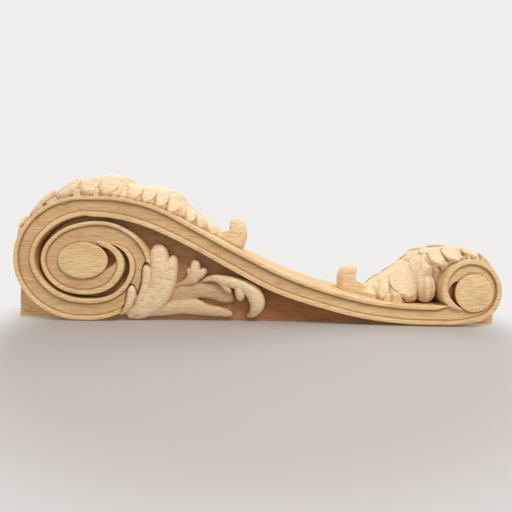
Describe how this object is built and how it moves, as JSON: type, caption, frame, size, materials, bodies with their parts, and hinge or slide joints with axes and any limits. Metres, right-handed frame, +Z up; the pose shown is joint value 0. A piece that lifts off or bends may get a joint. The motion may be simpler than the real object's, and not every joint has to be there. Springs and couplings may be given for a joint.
{
  "type": "carved wooden corbel bracket",
  "caption": "Carved hardwood corbel bracket with a large and a small volute, joined by a fluted S-shaped band, and leaf carving on its front and sides.",
  "frame": {"origin": "middle of the flat back face, at half the height and half the width", "axes": "+Z up, along the corbel's length to its large volute; +Y out of the back into the wall, so the carved front faces -Y; +X across, the corbel being symmetric about x = 0"},
  "size_m": [0.09, 0.108, 0.35],
  "materials": {
    "corbel": "unfinished pale hardwood, sanded, with small tool marks"
  },
  "bodies": {
    "root": {"corbel": "corbel"}
  },
  "joints": []
}
